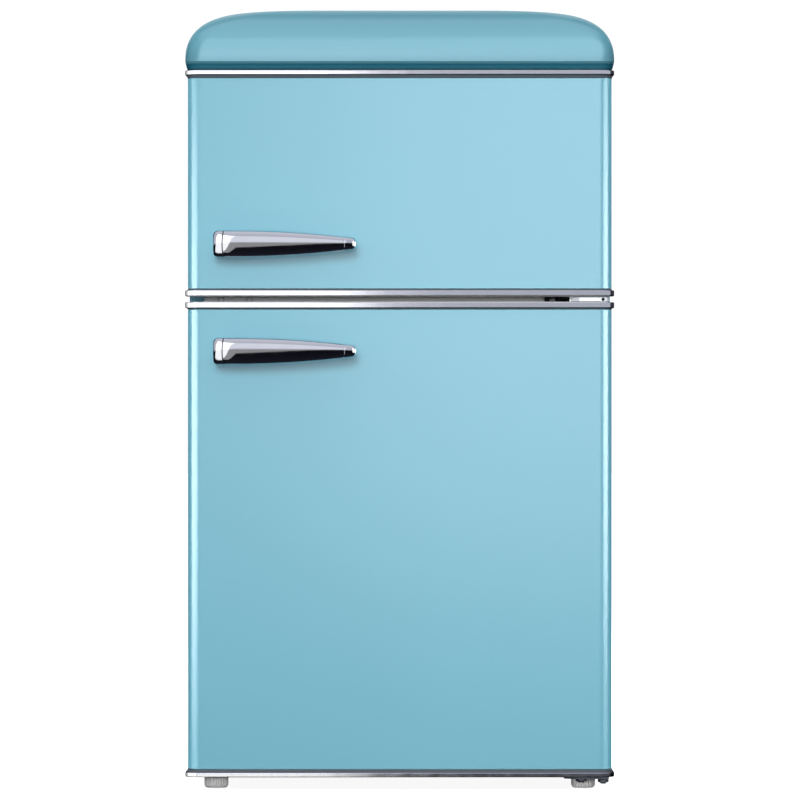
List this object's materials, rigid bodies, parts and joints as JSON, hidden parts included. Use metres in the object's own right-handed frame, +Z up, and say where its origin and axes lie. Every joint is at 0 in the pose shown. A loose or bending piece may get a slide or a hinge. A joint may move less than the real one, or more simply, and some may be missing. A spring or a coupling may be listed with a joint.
{
  "type": "top freezer refrigerator",
  "caption": "Compact retro two-door refrigerator with a domed cap, chrome-trimmed doors hinged on the right, bow handles, shelves, crisper drawer and compressor bay.",
  "frame": {"origin": "on the floor, under the centre of the object's bounding box", "axes": "+X to the viewer's right when facing the doors, -Y out of the doors towards the viewer, +Z up"},
  "size_m": [0.482, 0.53, 0.882],
  "materials": {
    "aqua_paint": "gloss",
    "aqua_cap": "gloss",
    "chrome": "polished",
    "white_abs": "satin",
    "grey_strip": "satin",
    "foam": "matte",
    "gasket_rubber": "matte",
    "zinc_steel": "satin",
    "white_metal": "satin",
    "galvanised": "satin",
    "black_enamel": "gloss",
    "black_plastic": "matte",
    "copper": "satin",
    "aluminium": "satin",
    "foot_plastic": "satin",
    "clear_plastic": "polished",
    "glass": "polished"
  },
  "bodies": {
    "cabinet": {"side_panel_left": "aqua_paint", "side_panel_right": "aqua_paint", "top_panel": "aqua_paint", "back_panel": "galvanised", "compressor_bay_panel": "galvanised", "base_plate": "zinc_steel", "cabinet_liner": "white_abs", "cabinet_insulation": "foam", "top_cap": "aqua_cap", "mullion_strip": "grey_strip", "top_hinge_bracket": "zinc_steel", "mid_hinge_bracket": "white_metal", "bottom_hinge_bracket": "zinc_steel", "glass_shelf_upper": "glass", "glass_shelf_lower": "glass", "crisper_cover_glass": "glass", "freezer_rack": "white_metal", "thermostat_housing": "white_abs", "lamp_lens": "clear_plastic", "door_switch": "white_abs", "compressor_rail": "galvanised", "cord_grommet": "black_plastic", "compressor": "black_enamel", "terminal_box": "black_plastic", "drip_tray": "black_plastic", "drain_spout": "black_plastic", "suction_tube": "copper", "discharge_tube": "copper", "filter_drier": "copper", "condenser_tube": "copper", "evaporator_plate": "aluminium", "rear_foot_left": "black_plastic", "rear_foot_right": "black_plastic"},
    "fridge_door": {"fridge_door_panel": "aqua_paint", "fridge_door_bottom_trim": "chrome", "fridge_door_top_trim": "chrome", "fridge_door_bottom_end_cap": "white_abs", "fridge_door_top_end_cap": "white_abs", "fridge_door_insulation": "foam", "fridge_door_liner": "white_abs", "fridge_door_gasket": "gasket_rubber", "fridge_door_handle": "chrome", "fridge_door_bin_lower": "clear_plastic", "fridge_door_bin_middle": "clear_plastic", "fridge_door_bin_upper": "clear_plastic"},
    "freezer_door": {"freezer_door_panel": "aqua_paint", "freezer_door_bottom_trim": "chrome", "freezer_door_top_trim": "chrome", "freezer_door_bottom_end_cap": "white_abs", "freezer_door_top_end_cap": "white_abs", "freezer_door_insulation": "foam", "freezer_door_liner": "white_abs", "freezer_door_gasket": "gasket_rubber", "freezer_door_handle": "chrome", "freezer_door_rack": "clear_plastic"},
    "crisper_drawer": {"crisper_drawer": "clear_plastic"},
    "thermostat_dial": {"thermostat_dial": "white_abs"},
    "door_switch_button": {"door_switch_button": "white_abs"},
    "front_foot_left": {"front_foot_left": "foot_plastic"},
    "front_foot_right": {"front_foot_right": "foot_plastic"}
  },
  "joints": [
    {"name": "fridge_door_hinge", "type": "hinge", "parent": "cabinet", "child": "fridge_door", "pos_m": [0.229, -0.207, 0.28], "axis": [0, 0, 1], "range_deg": [0, 120]},
    {"name": "freezer_door_hinge", "type": "hinge", "parent": "cabinet", "child": "freezer_door", "pos_m": [0.229, -0.207, 0.68], "axis": [0, 0, 1], "range_deg": [0, 120]},
    {"name": "crisper_drawer_slide", "type": "slide", "parent": "cabinet", "child": "crisper_drawer", "axis": [0, -1, 0], "range_m": [0, 0.15]},
    {"name": "thermostat_turn", "type": "hinge", "parent": "cabinet", "child": "thermostat_dial", "pos_m": [0.158, 0, 0.477], "axis": [-1, 0, 0], "range_deg": [0, 270]},
    {"name": "door_switch_travel", "type": "slide", "parent": "cabinet", "child": "door_switch_button", "axis": [0, -1, 0], "range_m": [0, 0.004]},
    {"name": "front_foot_left_screw", "type": "slide", "parent": "cabinet", "child": "front_foot_left", "axis": [0, 0, -1], "range_m": [0, 0.01]},
    {"name": "front_foot_right_screw", "type": "slide", "parent": "cabinet", "child": "front_foot_right", "axis": [0, 0, -1], "range_m": [0, 0.01]}
  ],
  "couplings": [
    {"joint": "crisper_drawer_slide", "follows": "fridge_door_hinge", "m_per_rad": 0.0716},
    {"joint": "door_switch_travel", "follows": "fridge_door_hinge", "m_per_rad": 0.0019}
  ]
}
